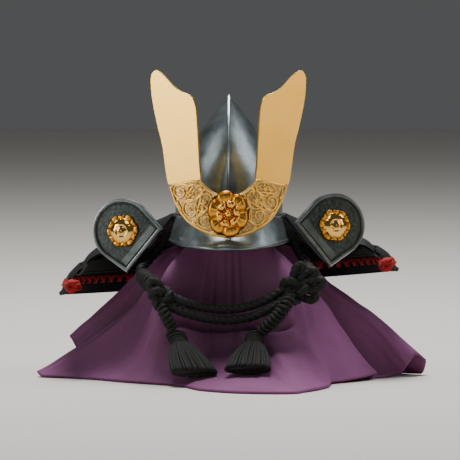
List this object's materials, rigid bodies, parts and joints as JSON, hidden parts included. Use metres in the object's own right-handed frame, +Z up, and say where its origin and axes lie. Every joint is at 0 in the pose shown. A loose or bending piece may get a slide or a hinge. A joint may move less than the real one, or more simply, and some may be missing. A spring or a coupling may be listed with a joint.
{
  "type": "kabuto samurai helmet on a cloth-draped stand",
  "caption": "Small display kabuto with a peaked bowl, flat gilt horns, flared neck guard, turned-back flaps and a tasselled chin cord, resting on a block under a draped cloth.",
  "frame": {"origin": "on the table, under the middle of the helmet", "axes": "+Z up, -Y towards the front that the horns and visor face, +X to the viewer's right"},
  "size_m": [0.1747, 0.1668, 0.139],
  "materials": {
    "iron_lacquer": "gloss",
    "black_lacquer": "gloss",
    "gilt": "polished",
    "deep_gilt": "polished",
    "dark_cord": "satin",
    "red_lacing": "satin",
    "purple_cloth": "matte",
    "stand_wood": "sanded"
  },
  "bodies": {
    "root": {"bowl": "iron_lacquer", "waist_band": "iron_lacquer", "visor": "iron_lacquer", "lame_1_top": "black_lacquer", "lame_2": "black_lacquer", "lame_3": "black_lacquer", "lame_4_bottom": "black_lacquer", "flap_left": "iron_lacquer", "flap_right": "iron_lacquer", "flap_boss_left": "gilt", "flap_boss_right": "gilt", "crest_base": "gilt", "horn_left": "gilt", "horn_right": "gilt", "crest_rosette": "deep_gilt", "crest_post": "black_lacquer", "cord_swag_upper": "dark_cord", "cord_swag_lower": "dark_cord", "cord_hanger_left": "dark_cord", "cord_hanger_right": "dark_cord", "cord_tail_left": "dark_cord", "cord_tail_right": "dark_cord", "knot_left": "dark_cord", "knot_right": "dark_cord", "tassel_left": "dark_cord", "tassel_right": "dark_cord", "lacing_left": "red_lacing", "lacing_right": "red_lacing", "drape": "purple_cloth", "stand_block": "stand_wood"}
  },
  "joints": []
}
